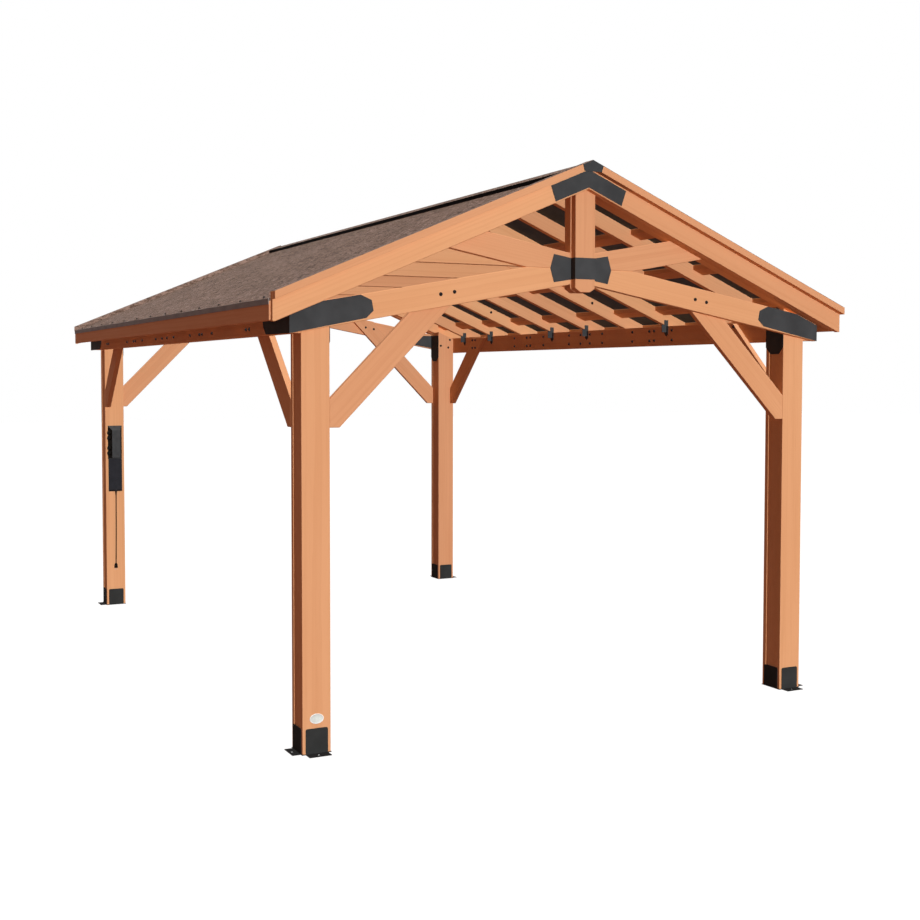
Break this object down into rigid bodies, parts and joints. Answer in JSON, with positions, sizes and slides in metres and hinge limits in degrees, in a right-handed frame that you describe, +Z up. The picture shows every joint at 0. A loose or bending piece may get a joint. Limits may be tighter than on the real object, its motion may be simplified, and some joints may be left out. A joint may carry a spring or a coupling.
{
  "type": "garden gazebo",
  "caption": "Open timber garden gazebo: posts with knee braces carry braced gable frames, rafters and a gabled sheet metal roof.",
  "frame": {"origin": "on the ground, under the middle of the ridge", "axes": "+X to the right across the gable that faces the camera, +Y back along the ridge, +Z up"},
  "size_m": [3.34, 4.694, 2.8259],
  "materials": {
    "timber": "stained softwood, satin",
    "timber_trim": "stained softwood, satin",
    "steel": "black powder coat, fine texture",
    "edge_metal": "dark grey paint",
    "ridge_metal": "dark paint",
    "roof": "speckled brown grey coating",
    "flashing": "brown grey coating",
    "socket_box": "matt black",
    "cable": "matt black",
    "plug": "matt black",
    "oval_plate": "pale, glossy, bare"
  },
  "bodies": {
    "root": {"barge_boards_back": "timber", "barge_boards_front": "timber", "barge_trims_back": "timber_trim", "barge_trims_front": "timber_trim", "blocking_left": "timber", "blocking_right": "timber", "collar_ties": "timber", "corner_plates_back": "steel", "corner_plates_front": "steel", "drip_edges": "edge_metal", "fascia_left": "timber", "fascia_right": "timber", "gable_rafters_back": "timber", "gable_rafters_front": "timber", "heel_plates_back": "steel", "heel_plates_front": "steel", "king_post_back": "timber", "king_post_front": "timber", "king_tie_back": "steel", "king_tie_front": "steel", "knee_braces_back_left": "timber", "knee_braces_back_right": "timber", "knee_braces_front_left": "timber", "knee_braces_front_right": "timber", "lower_chords_back": "timber", "lower_chords_front": "timber", "oval_plate": "oval_plate", "peak_plates_back": "steel", "peak_plates_front": "steel", "post_back_left": "timber", "post_back_right": "timber", "post_front_left": "timber", "post_front_right": "timber", "post_shoe_back_left": "steel", "post_shoe_back_right": "steel", "post_shoe_front_left": "steel", "post_shoe_front_right": "steel", "power_cord": "cable", "power_plug": "plug", "rafter_clips_left": "steel", "rafter_clips_right": "steel", "rafters_left": "timber", "rafters_right": "timber", "rake_flashing_back": "flashing", "rake_flashing_front": "flashing", "ridge_cap": "ridge_metal", "roof_sheet_left": "roof", "roof_sheet_right": "roof", "side_beam_left": "timber", "side_beam_right": "timber", "socket_box": "socket_box", "truss_rafters_back": "timber", "truss_rafters_front": "timber", "upper_struts_back": "timber", "upper_struts_front": "timber"}
  },
  "joints": []
}
